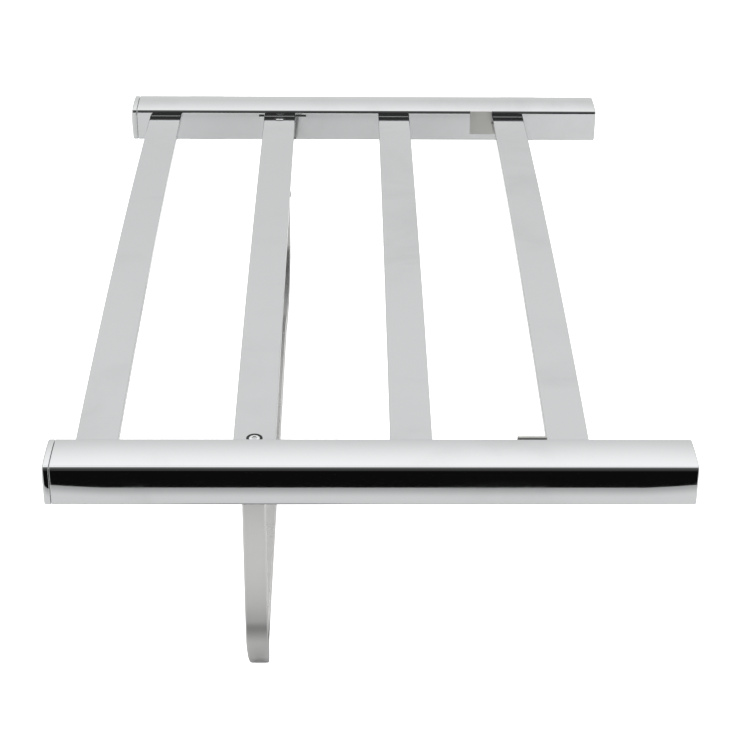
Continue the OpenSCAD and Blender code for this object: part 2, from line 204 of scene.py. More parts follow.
def add_node(tree, kind, place, inputs=None, **settings):
    """A node at a place, with its settings and what its inputs get."""
    node = tree.nodes.new(kind)
    node.location = place
    for key, value in settings.items():
        setattr(node, key, value)
    feed(tree, node, inputs or {})
    return node


def remap(tree, place, value, between=(0.0, 1.0), becomes=(0.0, 1.0), smooth=False):
    """The result of a Map Range node: what lies between two values becomes two others.

    A smooth one eases in and out."""
    ends = dict(zip(("From Min", "From Max", "To Min", "To Max"), (*between, *becomes)))
    kind = "SMOOTHSTEP" if smooth else "LINEAR"
    node = add_node(tree, "ShaderNodeMapRange", place, {"Value": value, **ends},
                    interpolation_type=kind)
    return node.outputs["Result"]


def smear_group():
    """Roughness that rises in soft smears, and a mask of the smears."""
    group, source, sink = new_group(
        "Smears",
        [
            ("Vector", "NodeSocketVector", None),
            ("Clean", "NodeSocketFloat", 0.03),
            ("Smeared", "NodeSocketFloat", 0.12),
            ("Scale", "NodeSocketFloat", 18.0),
        ],
        [("Roughness", "NodeSocketFloat"), ("Mask", "NodeSocketFloat")],
    )
    given = source.outputs
    broad = add_node(group, "ShaderNodeTexNoise", (-650, 150), {
        "Vector": given["Vector"], "Scale": given["Scale"],
        "Detail": 5.0, "Roughness": 0.62, "Distortion": 0.6,
    })
    mask = remap(group, (-400, 150), broad.outputs["Fac"], SMEAR_STARTS, smooth=True)
    rough = remap(group, (-120, 60), mask, becomes=(given["Clean"], given["Smeared"]))
    feed(group, sink, {"Roughness": rough, "Mask": mask})
    return group


smears = smear_group()
print("group made:", smears.name)

# %% Group: hairline marks along a bar


def hairline_group():
    """Fine lines that run along Y, as polishing a bar leaves them."""
    group, source, sink = new_group(
        "Hairlines",
        [
            ("Vector", "NodeSocketVector", None),
            ("Across", "NodeSocketFloat", 900.0),
            ("Along", "NodeSocketFloat", 6.0),
        ],
        [("Height", "NodeSocketFloat")],
    )
    given = source.outputs
    stretch = add_node(group, "ShaderNodeCombineXYZ", (-650, -120), {
        "X": given["Across"], "Y": given["Along"], "Z": given["Across"],
    })
    scaled = add_node(group, "ShaderNodeVectorMath", (-400, 0), {
        0: given["Vector"], 1: stretch.outputs["Vector"],
    }, operation="MULTIPLY")
    lines = add_node(group, "ShaderNodeTexNoise", (-150, 0), {
        "Vector": scaled.outputs["Vector"], "Scale": 1.0, "Detail": 3.0,
    })
    feed(group, sink, {"Height": lines.outputs["Fac"]})
    return group


hairlines = hairline_group()
print("group made:", hairlines.name)

# %% [markdown]
# ## Materials
# Polished chrome covers the rails, the brackets, the lugs and the screw heads. The slats
# have the same chrome with hairlines along the bar. The bow and the angle plates are satin
# chrome, which is rougher and mirrors less clearly. Pins and open rings are dull steel, the
# friction washers are nylon, and the buffer's pad is rubber. One function makes every metal,
# so that they differ only in their values. A value that is the same all over sits on the
# socket itself.

# %% Chrome and steel

SMEAR_TINT = 0.93  # a smeared place reflects this much of what a clean one does
POLISH_SCALE = 55.0  # waves of uneven polish in a metre
FILM_CLEARS = (0.44, 0.68)  # where a film fades out, from 0, face on, to 1, edge on


def new_material(name):
    """A material, its node tree and its Principled shader."""
    mat = bpy.data.materials.new(name)
    mat.use_nodes = True
    return mat, mat.node_tree, mat.node_tree.nodes["Principled BSDF"]


def mixed(tree, place, kind, factor, a, b):
    """The result of a Mix node for two colours."""
    node = add_node(tree, "ShaderNodeMix", place, {"Factor": factor, "A": a, "B": b},
                    data_type="RGBA", blend_type=kind)
    return node.outputs["Result"]


def metal(name, colour, clean, smeared, smear_scale, polish, hairline=None, face_on=1.0):
    """A metal with smears, uneven polish and, if asked, hairlines along its bar.

    clean and smeared are roughnesses, and polish is the height of the waves in metres.
    hairline is the Hairlines group's values and the lines' height. A face_on below 1 is
    a film: the metal reflects that share when seen face on."""
    mat, tree, shader = new_material(name)
    coords = add_node(tree, "ShaderNodeTexCoord", (-1200, 0)).outputs["Object"]
    marks = add_node(tree, "ShaderNodeGroup", (-800, 0), node_tree=smears)
    feed(tree, marks, {
        "Vector": coords, "Clean": clean, "Smeared": smeared, "Scale": smear_scale,
    })
    bare, dulled = (*colour, 1.0), (*[c * SMEAR_TINT for c in colour], 1.0)
    shown = mixed(tree, (-450, 250), "MIX", marks.outputs["Mask"], bare, dulled)
    if face_on < 1:
        facing = add_node(tree, "ShaderNodeLayerWeight", (-800, 500)).outputs["Facing"]
        film = remap(tree, (-600, 500), facing, FILM_CLEARS, (face_on, 1.0))
        filmed = add_node(tree, "ShaderNodeVectorMath", (-200, 400), operation="SCALE")
        feed(tree, filmed, {0: shown, "Scale": film})
        shown = filmed.outputs[0]
    uneven = add_node(tree, "ShaderNodeTexNoise", (-800, -300), {
        "Vector": coords, "Scale": POLISH_SCALE, "Detail": 1.0,
    })
    bump = add_node(tree, "ShaderNodeBump", (-300, -300), {
        "Strength": 1.0, "Distance": polish, "Height": uneven.outputs["Fac"],
    })
    if hairline:
        values, height = hairline
        lines = add_node(tree, "ShaderNodeGroup", (-800, -550), node_tree=hairlines)
        feed(tree, lines, {"Vector": coords, **values})
        fine = add_node(tree, "ShaderNodeBump", (-520, -550), {
            "Strength": 1.0, "Distance": height, "Height": lines.outputs["Height"],
        })
        feed(tree, bump, {"Normal": fine.outputs["Normal"]})
    feed(tree, shader, {
        "Metallic": 1.0, "Base Color": shown, "Roughness": marks.outputs["Roughness"],
        "Normal": bump.outputs["Normal"],
    })
    return mat


CHROME = (0.60, 0.61, 0.615)
chrome = metal("polished_chrome", CHROME, 0.03, 0.07, 16.0, 2e-6)
chrome_slat = metal(
    "slat_chrome", CHROME, 0.06, 0.12, 14.0, 3e-6, ({"Across": 1100.0, "Along": 5.0}, 1e-6),
    face_on=0.73,
)
chrome_bow = metal("bow_chrome", (0.62, 0.62, 0.61), 0.25, 0.31, 16.0, 2e-6)
satin = metal("satin_chrome", (0.46, 0.46, 0.44), 0.3, 0.4, 40.0, 3e-6)
steel_dark = metal("dull_steel", (0.30, 0.30, 0.31), 0.24, 0.42, 60.0, 6e-6)
print("metals:", [m.name for m in (chrome, chrome_slat, chrome_bow, satin, steel_dark)])

# %% Nylon and rubber

GRAIN_DARK, GRAIN_PALE = 0.8, 1.15  # the grain's tones, as shares of the colour
ROUGH_SPREAD = 0.08


def soft_plastic(name, colour, rough, grain, depth):
    """A dull material with a fine grain; depth is the grain's height in metres."""
    mat, tree, shader = new_material(name)
    coords = add_node(tree, "ShaderNodeTexCoord", (-900, 0))
    noise = add_node(tree, "ShaderNodeTexNoise", (-650, 0), {
        "Vector": coords.outputs["Object"], "Scale": grain, "Detail": 6.0,
    }).outputs["Fac"]
    dark = (*[c * GRAIN_DARK for c in colour], 1.0)
    pale = (*[min(1, c * GRAIN_PALE) for c in colour], 1.0)
    ends = rough - ROUGH_SPREAD, rough + ROUGH_SPREAD
    bump = add_node(tree, "ShaderNodeBump", (-350, -320), {
        "Distance": depth, "Height": noise,
    })
    feed(tree, shader, {
        "Base Color": mixed(tree, (-350, 200), "MIX", noise, dark, pale),
        "Roughness": remap(tree, (-350, -50), noise, becomes=ends),
        "Normal": bump.outputs["Normal"],
    })
    return mat


nylon = soft_plastic("washer_nylon", (0.70, 0.69, 0.65), 0.5, 900.0, 1e-5)
rubber = soft_plastic("pad_rubber", (0.035, 0.035, 0.037), 0.7, 1400.0, 3e-5)
# Painted shadow: a near-black matt material for the thin rings that stand for the shaded gap
# round each screw head.
painted_recess_shadow = soft_plastic("painted_recess_shadow", (0.012, 0.012, 0.012), 0.8, 900.0, 1e-5)
print("dull materials:", nylon.name, rubber.name, painted_recess_shadow.name)

# %% [markdown]
# ## The rails
# The rail is a drawn tube with a crowned top and nearly flat sides that meet in a small,
# tight radius. That radius is where the bright line along the rail comes from. A bevelled
# box would come close, but its sides would be dead flat. Here the outline is worked out
# from circles: a large one for the top, a large one for the side, and a small one that
# touches both. A cap closes the left end, with a seam, and a plug the right end. Both are
# shaped like a shallow pillow, so that no crease shows in the chrome.

# %% The rail's outline


def two_circles(a, ra, b, rb, toward):
    """The crossing of two circles that lies nearer a point."""
    gap = (b - a).length
    along = (gap * gap + ra * ra - rb * rb) / (2 * gap)
    high = math.sqrt(max(0.0, ra * ra - along * along))
    u = (b - a) / gap
    side = Vector((-u.y, u.x))
    return min((a + u * along + side * s * high for s in (1, -1)),
               key=lambda p: (p - toward).length)


def arc(centre, radius, start, end, steps):
    """Points on a circle from one point to another, the short way."""
    a0 = math.atan2(start.y - centre.y, start.x - centre.x)
    a1 = math.atan2(end.y - centre.y, end.x - centre.x)
    turn = (a1 - a0 + math.pi) % (2 * math.pi) - math.pi
    return [centre + radius * Vector((math.cos(a0 + turn * i / steps),
                                      math.sin(a0 + turn * i / steps)))
            for i in range(steps + 1)]


SIDE_STEPS, CORNER_STEPS, TOP_STEPS = 10, 12, 16
LEAST_CORNER = 0.25 * MM


def rail_outline(grow=0.0, crown=0.8 * MM, bulge=0.25 * MM, corner=2.0 * MM):
    """The rail's section as (y, z) points, going round once; grow offsets it outwards."""
    w, h = half_depth, half_height
    top_r = (w * w + crown * crown) / (2 * crown)
    side_r = (h * h + bulge * bulge) / (2 * bulge)
    r = max(LEAST_CORNER, corner + grow)
    top_c, side_c = Vector((0, h - top_r)), Vector((w - side_r, 0))
    c = two_circles(top_c, top_r + grow - r, side_c, side_r + grow - r, Vector((w, h)))
    on_top = c + (c - top_c).normalized() * r
    on_side = c + (c - side_c).normalized() * r
    quarter = arc(side_c, side_r + grow, Vector((w + grow, 0)), on_side, SIDE_STEPS)
    quarter += arc(c, r, on_side, on_top, CORNER_STEPS)[1:]
    quarter += arc(top_c, top_r + grow, on_top, Vector((0, h + grow)), TOP_STEPS)[1:]
    half = quarter + [Vector((-p.x, p.y)) for p in reversed(quarter[:-1])]
    return half + [Vector((p.x, -p.y)) for p in reversed(half[1:-1])]


print("points in the rail's outline:", len(rail_outline()))

# %% Tubes, caps and plugs


def rail_ring(x, y, grow=0.0):
    """The rail's outline as a ring at one place along the rail."""
    return [Vector((x, y + p.x, rail_z + p.y)) for p in rail_outline(grow)]


def rounded_steps(x, y, radius, direction, grow=0.0, steps=5, turn=90):
    """Rings that round an outer edge off towards an end, by turn degrees."""
    rings = []
    for i in range(steps + 1):
        t = math.radians(turn * i / steps)
        rings.append(rail_ring(x + direction * radius * (math.sin(t) - 1), y,
                               grow - radius * (1 - math.cos(t))))
    return rings


def tube(name, y, node):
    """A hollow rail with softly rounded rims."""
    rim, lip, parts = 0.35 * MM, 0.15 * MM, 12
    rings = [rail_ring(tube_start, y, -tube_wall)]
    rings += list(reversed(rounded_steps(tube_start, y, rim, -1)))
    middle = [tube_start + (tube_end - tube_start) * i / parts for i in range(1, parts)]
    rings += [rail_ring(x, y) for x in middle]
    rings += rounded_steps(tube_end, y, 2 * rim, 1)
    rings.append(rail_ring(tube_end, y, -tube_wall + lip))
    rings.append(rail_ring(tube_end - lip, y, -tube_wall))
    verts, faces = loft(rings, closed=True)
    return make_object(name, verts, faces, "rack", chrome, replaces=(node,))


# The outline's offset for what fits inside the tube, with a little play.
inside_tube = -tube_wall - 0.1 * MM


def pillow_ring(x, rise, y, rim, size):
    """The rail's outline, drawn in by a factor and raised as a shallow pillow is."""
    ring = []
    for p in rail_outline(rim):
        u, v = p.x * size / (half_depth + rim), p.y * size / (half_height + rim)
        bulge = max(0.0, 1 - u**2) * max(0.0, 1 - v**2)
        ring.append(Vector((x + rise * bulge, y + p.x * size, rail_z + p.y * size)))
    return ring


def pillow_end(x_edge, x_top, y, direction, grow, edge=0.9 * MM, steps=10):
    """Rings from a rounded rim to the middle of a shallow pillow, without a crease.

    The rim's rounding stops at the slope that the pillow starts with."""
    rise = x_top - x_edge
    slope = math.atan2(4 * abs(rise), half_depth + half_height)
    rings = rounded_steps(x_edge, y, edge, direction, grow, turn=90 - math.degrees(slope))
    rim = grow - edge * (1 - math.sin(slope))
    x_rim = x_edge - direction * edge * (1 - math.cos(slope))
    shrink = 0.97  # the small hole that is left in the middle is filled by the loft
    sizes = [1 - shrink * i / steps for i in range(1, steps)]
    return rings + [pillow_ring(x_rim, x_top - x_rim, y, rim, size) for size in sizes]


def end_cap(name, y, node):
    """A pillow-shaped cap with a fine seam against the tube."""
    seam, rim, spigot, rise = 0.25 * MM, 0.3 * MM, 4 * MM, 1.6 * MM
    rings = [rail_ring(tube_start + spigot, y, inside_tube)]
    rings.append(rail_ring(tube_start - seam, y, inside_tube))
    rings += list(reversed(rounded_steps(tube_start - seam, y, rim, 1)))
    rings += pillow_end(cap_end + rise, cap_end, y, -1, 0.0)
    verts, faces = loft(rings)
    return make_object(name, verts, faces, "rack", chrome, replaces=(node,))


def end_plug(name, y, node):
    """A shallow pillow-shaped plug, just inside the tube's rim."""
    length, edge, edge_back, top_back = 8 * MM, 0.3 * MM, 0.45 * MM, 0.05 * MM
    rings = [rail_ring(tube_end - length, y, inside_tube)]
    rings += pillow_end(tube_end - edge_back, tube_end - top_back, y, 1, inside_tube, edge)
    verts, faces = loft(rings)
    return make_object(name, verts, faces, "rack", chrome, replaces=(node,))


for label, y in (("front", front_y), ("rear", back_y)):
    made = [
        tube(f"rail_{label}", y, f"{label}_rail"),
        end_cap(f"end_cap_{label}", y, f"cap_{label}_left"),
        end_plug(f"end_plug_{label}", y, f"plug_{label}_right"),
    ]
    print(label, "rail pieces:", [(o.name, triangles(o)) for o in made])

# %% [markdown]
# ## The slats
# Four equal bars at an equal pitch are a rule, so Geometry Nodes make them: one curve is
# bent into the crown, swept with a rounded bar section, and instanced along the rail. Four
# modelled bars would do, but then every change would have to be made four times. The sizes
# are named inputs of the tree. Instances are realised at the end, and the result is turned
# into a plain mesh.

# %% Sizes of the slats

slat_boxes = [node_box(f"slat_{i}") for i in range(1, 5)]
slat_width = slat_boxes[0][1].x - slat_boxes[0][0].x
slat_thick = 4.0 * MM
slat_edge = 0.4 * MM
slat_sunk = 0.3 * MM  # how far its ends run into the rails
slat_x = [(a.x + b.x) / 2 for a, b in slat_boxes]
slat_from = front_y + half_depth - slat_sunk
slat_to = back_y - half_depth + slat_sunk
slat_crown = slat_boxes[0][1].z - slat_thick / 2
slat_rise = slat_crown - (slat_boxes[0][0].z + slat_thick / 2)
slat_span = back_y - front_y - 2 * half_depth
slat_radius = ((slat_span / 2) ** 2 + slat_rise**2) / (2 * slat_rise)
slat_middle = (front_y + back_y) / 2
print("slat pitch", round((slat_x[1] - slat_x[0]) * 1000, 2), "mm, rise",
      round(slat_rise * 1000, 2), "mm")


def slat_height(y):
    """Height of a slat's middle plane."""
    return slat_crown - slat_radius + math.sqrt(slat_radius**2 - (y - slat_middle) ** 2)


# %% The tree that makes the slats

POINTS_ALONG, EDGE_STEPS = 97, 6


def maths(tree, operation, place, *values):
    """The result of a Math node."""
    node = add_node(tree, "ShaderNodeMath", place, dict(enumerate(values)),
                    operation=operation)
    return node.outputs[0]


def slat_tree():
    """Geometry Nodes: a crowned bar, repeated along X."""
    tree = bpy.data.node_groups.new("Crowned slats", "GeometryNodeTree")
    put = tree.interface.new_socket
    for label in ("From", "To", "Crown", "Radius", "Width", "Thickness", "Edge", "First",
                  "Pitch"):
        put(label, in_out="INPUT", socket_type="NodeSocketFloat")
    put("Count", in_out="INPUT", socket_type="NodeSocketInt")
    put("Material", in_out="INPUT", socket_type="NodeSocketMaterial")
    put("Geometry", in_out="OUTPUT", socket_type="NodeSocketGeometry")
    given = add_node(tree, "NodeGroupInput", (-1400, 0)).outputs
    start = add_node(tree, "ShaderNodeCombineXYZ", (-1150, 250), {"Y": given["From"]})
    end = add_node(tree, "ShaderNodeCombineXYZ", (-1150, 100), {"Y": given["To"]})
    line = add_node(tree, "GeometryNodeCurvePrimitiveLine", (-950, 200), {
        "Start": start.outputs[0], "End": end.outputs[0],
    })
    many = add_node(tree, "GeometryNodeResampleCurve", (-750, 200), {
        "Curve": line.outputs["Curve"], "Count": POINTS_ALONG,
    })

    # height = crown - radius + sqrt(radius^2 - (y - middle)^2)
    place = add_node(tree, "GeometryNodeInputPosition", (-1150, -100))
    split = add_node(tree, "ShaderNodeSeparateXYZ", (-950, -100), {0: place.outputs[0]})
    ends = maths(tree, "ADD", (-1150, -350), given["From"], given["To"])
    middle = maths(tree, "MULTIPLY", (-950, -350), ends, 0.5)
    away = maths(tree, "SUBTRACT", (-750, -150), split.outputs["Y"], middle)
    away2 = maths(tree, "MULTIPLY", (-580, -150), away, away)
    radius2 = maths(tree, "MULTIPLY", (-750, -350), given["Radius"], given["Radius"])
    left = maths(tree, "SUBTRACT", (-400, -250), radius2, away2)
    root = maths(tree, "SQRT", (-240, -250), left)
    base = maths(tree, "SUBTRACT", (-400, -450), given["Crown"], given["Radius"])
    height = maths(tree, "ADD", (-80, -300), root, base)
    lift = add_node(tree, "ShaderNodeCombineXYZ", (80, -300), {"Z": height})
    bend = add_node(tree, "GeometryNodeSetPosition", (-80, 150), {
        "Geometry": many.outputs["Curve"], "Offset": lift.outputs[0],
    })
    upright = add_node(tree, "GeometryNodeSetCurveNormal", (120, 150), {
        "Curve": bend.outputs["Geometry"],
    }, mode="Z_UP")

    section = add_node(tree, "GeometryNodeCurvePrimitiveQuadrilateral", (-80, 450), {
        "Width": given["Width"], "Height": given["Thickness"],
    })
    soft = add_node(tree, "GeometryNodeFilletCurve", (120, 450), mode="POLY")
    feed(tree, soft, {
        "Curve": section.outputs["Curve"], "Radius": given["Edge"], "Count": EDGE_STEPS,
    })
    sweep = add_node(tree, "GeometryNodeCurveToMesh", (350, 250), {
        "Curve": upright.outputs["Curve"], "Profile Curve": soft.outputs["Curve"],
        "Fill Caps": True,
    })

    first = add_node(tree, "ShaderNodeCombineXYZ", (120, -80), {"X": given["First"]})
    step = add_node(tree, "ShaderNodeCombineXYZ", (120, -160), {"X": given["Pitch"]})
    spots = add_node(tree, "GeometryNodeMeshLine", (350, -100), {
        "Count": given["Count"], "Start Location": first.outputs[0],
        "Offset": step.outputs[0],
    })
    copies = add_node(tree, "GeometryNodeInstanceOnPoints", (600, 100), {
        "Points": spots.outputs["Mesh"], "Instance": sweep.outputs["Mesh"],
    })
    real = add_node(tree, "GeometryNodeRealizeInstances", (820, 100), {
        "Geometry": copies.outputs["Instances"],
    })
    paint = add_node(tree, "GeometryNodeSetMaterial", (1050, 100), {
        "Geometry": real.outputs["Geometry"], "Material": given["Material"],
    })
    add_node(tree, "NodeGroupOutput", (1400, 0), {"Geometry": paint.outputs["Geometry"]})
    return tree


def run_tree(name, tree, values):
    """The tree's result as a plain mesh object, with no modifier left on it."""
    holder = new_object(name + "_maker", bpy.data.meshes.new(name + "_empty"))
    modifier = holder.modifiers.new("Make", "NODES")
    modifier.node_group = tree
    for item in tree.interface.items_tree:
        if item.in_out == "INPUT" and item.name in values:
            modifier[item.identifier] = values[item.name]
    seen = holder.evaluated_get(bpy.context.evaluated_depsgraph_get())
    mesh = bpy.data.meshes.new_from_object(seen)
    mesh.name = name
    holder.modifiers.remove(modifier)
    bpy.data.objects.remove(holder)
    return new_object(name, mesh)


slats = run_tree("slats", slat_tree(), {
    "From": slat_from, "To": slat_to, "Crown": slat_crown, "Radius": slat_radius,
    "Width": slat_width, "Thickness": slat_thick, "Edge": slat_edge,
    "First": slat_x[0], "Pitch": slat_x[1] - slat_x[0], "Count": 4,
    "Material": chrome_slat,
})
xs = [v.co.x * 1000 for v in slats.data.vertices]
zs = [v.co.z * 1000 for v in slats.data.vertices]
print("slats from x", round(min(xs), 1), "to", round(max(xs), 1), "mm")
print("slats from z", round(min(zs), 1), "to", round(max(zs), 1), "mm")

# %% Keep the slats' flats flat


def weigh_normals(obj):
    """Lets the large flats set the normals at their edges, and applies the result."""
    modifier = obj.modifiers.new("Flats", "WEIGHTED_NORMAL")
    modifier.weight = 100
    modifier.keep_sharp = True
    seen = obj.evaluated_get(bpy.context.evaluated_depsgraph_get())
    mesh = bpy.data.meshes.new_from_object(seen)
    obj.modifiers.remove(modifier)
    old = obj.data
    obj.data = mesh
    bpy.data.meshes.remove(old)


finish_object(slats, "rack", chrome_slat, replaces=[f"slat_{i}" for i in range(1, 5)])
weigh_normals(slats)
print("slats:", triangles(slats), "triangles")

# %% [markdown]
# ## Joints between slats and rails
# Each slat's tenon is brazed into its rail. A thin concave bead runs along the top edge of
# every joint, and on chrome it shows as a fine bright line. Joining the meshes and rounding
# the corner between them would fuse the pieces, so the bead is a small loft of its own.

# %% Beads

BEAD_STEPS = 8
bead_radius = 0.5 * MM
bead_sunk = 0.1 * MM


def joint_bead(x, rail_face, away):
    """A concave bead between a slat's top and a rail's face; away is 1 or -1."""
    top = slat_height(rail_face + away * bead_radius) + slat_thick / 2
    section = [Vector((-bead_sunk, -bead_sunk)), Vector((bead_radius, -bead_sunk))]
    for i in range(BEAD_STEPS + 1):
        t = math.radians(90 * i / BEAD_STEPS)
        section.append(Vector((bead_radius - bead_radius * math.sin(t),
                               bead_radius - bead_radius * math.cos(t))))
    section.append(Vector((-bead_sunk, bead_radius)))
    rings = []
    for side in (-1, 1):
        edge = x + side * (slat_width / 2 - slat_edge)
        rings.append([Vector((edge, rail_face + away * p.x, top + p.y)) for p in section])
    return loft(rings)


rail_faces = (front_y + half_depth, 1), (back_y - half_depth, -1)
verts, faces = joined(joint_bead(x, y, away) for x in slat_x for y, away in rail_faces)
beads = make_object("joint_beads", verts, faces, "rack", chrome)
print("beads:", triangles(beads), "triangles")

# %% [markdown]
# ## The support bow
# One flat bar, bent twice with a generous radius, whose ends are rounded eyes on the pivot
# pins. A curve with a bevel profile would sweep it, but where the bar gets narrower along
# its run, the sweep would make it thinner as well. So it is lofted from rings: each ring is
# the bar's section, turned to follow the bend. At the eyes the section narrows along a
# half circle.

# %% The bow's bar

bow_lo, bow_hi = node_box("support_bow")
pin_lo, pin_hi = node_box("bow_pin_front")
bow_x = (bow_lo.x + bow_hi.x) / 2
bow_half = (bow_hi.x - bow_lo.x) / 2
bow_run_half = 3.5 * MM
bow_thick = 4.5 * MM
bow_bend = 50.0 * MM
bow_edge = 0.9 * MM
pivot_z = (pin_lo.z + pin_hi.z) / 2
print("bow:", round(bow_half * 2000, 1), "mm wide at the legs,",
      round(bow_run_half * 2000, 1), "along the run")


def bar_section(half_width, half_thick, edge, steps=6):
    """A rounded bar section as (across, through) points, with guard points on the flats."""
    # Some of each side always stays flat.
    edge = min(edge, half_width * 0.45, half_thick * 0.9)
    guard = 0.06 * MM
    points = []
    for sx, sy, a0 in ((1, 1, 0), (-1, 1, 90), (-1, -1, 180), (1, -1, 270)):
        cx, cy = sx * (half_width - edge), sy * (half_thick - edge)
        turn = [math.radians(a0 + 90 * i / steps) for i in range(steps + 1)]
        curve = [Vector((cx + edge * math.cos(t), cy + edge * math.sin(t))) for t in turn]
        before = Vector((math.sin(turn[0]), -math.cos(turn[0]))) * guard
        after = Vector((-math.sin(turn[-1]), math.cos(turn[-1]))) * guard
        points += [curve[0] + before] + curve + [curve[-1] + after]
    return points


LEG_PARTS, BEND_PARTS, RUN_PARTS = 6, 48, 16


def bow_path():
    """Points on the bar's middle line, each with its outward direction and half width."""
    inset = bow_thick / 2
    y0, y1, z0 = bow_lo.y + inset, bow_hi.y - inset, bow_lo.z + inset
    r = bow_bend - inset
    path = []
    # The eye, from its tip to the pin.
    for degrees in (88, 80, 70, 60, 50, 40, 30, 20, 10):
        s = math.sin(math.radians(degrees))
        path.append((Vector((y0, pivot_z + bow_half * s)), Vector((-1, 0)),
                     bow_half * math.sqrt(1 - s * s)))
    # The leg and the bend, where the bar gets narrower.
    for i in range(LEG_PARTS):
        z = pivot_z + (z0 + r - pivot_z) * i / LEG_PARTS
        path.append((Vector((y0, z)), Vector((-1, 0)), bow_half))
    for i in range(BEND_PARTS + 1):
        t = math.radians(90 * i / BEND_PARTS)
        out = Vector((-math.cos(t), -math.sin(t)))
        point = Vector((y0 + r, z0 + r)) + out * r
        taper = (point.x - inset - y0) / (bow_bend - bow_thick)
        width = bow_half + (bow_run_half - bow_half) * min(1, max(0, taper))
        path.append((point, out, width))
    # The other side is the same the other way round, and the run joins both.
    mirror = [(Vector((y0 + y1 - p.x, p.y)), Vector((-n.x, n.y)), w)
              for p, n, w in reversed(path)]
    straight = []
    for i in range(1, RUN_PARTS):
        y = (y0 + r) + (y1 - y0 - 2 * r) * i / RUN_PARTS
        straight.append((Vector((y, z0)), Vector((0, -1)), bow_run_half))
    return path + straight + mirror


def bow_rings(edge):
    """The bar's section at every point of the path."""
    rings = []
    for point, out, width in bow_path():
        ring = []
        for p in bar_section(width, bow_thick / 2, edge):
            ring.append(Vector((bow_x + p.x, point.x + out.x * p.y, point.y + out.y * p.y)))
        rings.append(ring)
    return rings


verts, faces = loft(bow_rings(bow_edge))
bow = make_object("bow_bar", verts, faces, "bow", chrome_bow, replaces=("support_bow",))
print("bow:", triangles(bow), "triangles")

# %% [markdown]
# ## Screws in the second slat
# Two button-head screws hold the bow's brackets. Each head is a low dome with a hexagonal
# socket. Cutting the socket with a Boolean would leave thin, uneven faces, so the head is
# lofted from rings that change from a circle to a hexagon.

# %% Screw heads

screw_lo, screw_hi = node_box("slat_screws")
head_r = (screw_hi.x - screw_lo.x) / 2
head_dome = 2.6 * MM
DOME_STEPS = 8


def polar_ring(centre, tilt, radius, height, hexagon=0.0, count=48):
    """A ring round a tilted axis; hexagon goes from 0, a circle, to 1."""
    ring = []
    for i in range(count):
        a = 2 * math.pi * i / count
        flat = math.cos(math.radians(30)) / math.cos((a % math.radians(60)) - math.radians(30))
        r = radius * (1 + hexagon * (flat - 1))
        ring.append(centre + tilt @ Vector((r * math.cos(a), r * math.sin(a), height)))
    return ring


def slat_seat(y):
    """The place on top of the second slat at y, and how the slat is tilted there."""
    slope = -(y - slat_middle) / math.sqrt(slat_radius**2 - (y - slat_middle) ** 2)
    tilt = Matrix.Rotation(math.atan(slope), 3, "X")
    return Vector((slat_x[1], y, slat_height(y) + slat_thick / 2)), tilt


def button_screw(y):
    """Vertices and faces of a button-head screw seated in the slat at y."""
    seat, tilt = slat_seat(y)
    shank, shank_end, under = 1.9 * MM, -5.5 * MM, -1.0 * MM
    rim, dome, top = head_r - 0.05 * MM, head_dome + 0.05 * MM, 0.28 * MM
    socket = 1.3 * MM
    crown = socket * 1.25
    # Each row is a ring's radius, its height, and whether it is a hexagon.
    rows = [(shank, shank_end, 0), (shank, under, 0), (rim, under, 0), (rim, 0, 0),
            (dome, 0, 0)]
    for i in range(DOME_STEPS + 1):
        t = math.radians(90 * i / DOME_STEPS)
        rows.append((crown + (head_dome - crown) * math.cos(t), top * math.sin(t), 0))
    rows += [(socket * 1.08, top, 1), (socket, top - 0.1 * MM, 1),
             (socket, top - 0.95 * MM, 1), (socket * 0.3, top - 1.15 * MM, 1)]
    return loft([polar_ring(seat, tilt, r, h, x) for r, h, x in rows])


screw_y = screw_lo.y + head_r, screw_hi.y - head_r
verts, faces = joined(button_screw(y) for y in screw_y)
screws = make_object("slat_screw_heads", verts, faces, "rack", chrome,
                     replaces=("slat_screws",))
print("screws:", triangles(screws), "triangles")

# %% Painted shadow round each screw head


def recess_shadow_ring(y):
    """A thin near-black ring round the dome: painted shadow of the gap where the head's rim
    lies in its recess.
    """
    seat, tilt = slat_seat(y)
    inner, outer, under, over = head_dome, head_r + 0.1 * MM, -0.1 * MM, 0.03 * MM
    rows = [(inner, under), (outer, under), (outer, over), (inner, over)]
    return loft([polar_ring(seat, tilt, r, h) for r, h in rows], closed=True)


# Flat near-black rings on the slat: painted shadow in place of a cut recess.
verts, faces = joined(recess_shadow_ring(y) for y in screw_y)
shadow_rings = make_object("screw_shadow_rings", verts, faces, "rack", painted_recess_shadow)
print("grooves:", triangles(shadow_rings), "triangles")

# %% [markdown]
# ## Small parts
# The brackets, lugs, pins and plates already have the right shape in CAD, and making them
# again would only risk another one. A real edge is never perfectly sharp, and chrome shows
# that as a fine bright line. So each of these is copied, its loose triangles are merged
# into faces, and its edges get a small bevel.

# %% Bevelled copies of CAD nodes

WELD = 2e-6  # points nearer than this, in metres, become one
LEVEL = 0.8  # faces that differ by less than this, in degrees, become one


def bevelled(node, body, material, width, segments=3, angle=28):
    """A copy of a CAD node with rounded edges, which stands for it."""
    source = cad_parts[node]
    mesh = source.data.copy()
    mesh.name = node + "_soft"
    obj = new_object(node + "_soft", mesh)
    bm = bmesh.new()
    bm.from_mesh(mesh)
    bmesh.ops.remove_doubles(bm, verts=bm.verts, dist=WELD)
    bmesh.ops.dissolve_limit(bm, angle_limit=math.radians(LEVEL), verts=bm.verts,
                             edges=bm.edges, use_dissolve_boundaries=False)
    edges = [e for e in bm.edges
             if len(e.link_faces) == 2 and e.calc_face_angle(0.0) > math.radians(angle)]
    bmesh.ops.bevel(bm, geom=edges, offset=width, offset_type="OFFSET", segments=segments,
                    profile=0.5, affect="EDGES", clamp_overlap=True, harden_normals=False)
    bm.to_mesh(mesh)
    bm.free()
    finish_object(obj, body, material, replaces=(node,), sharp=40)
    weigh_normals(obj)
    return obj


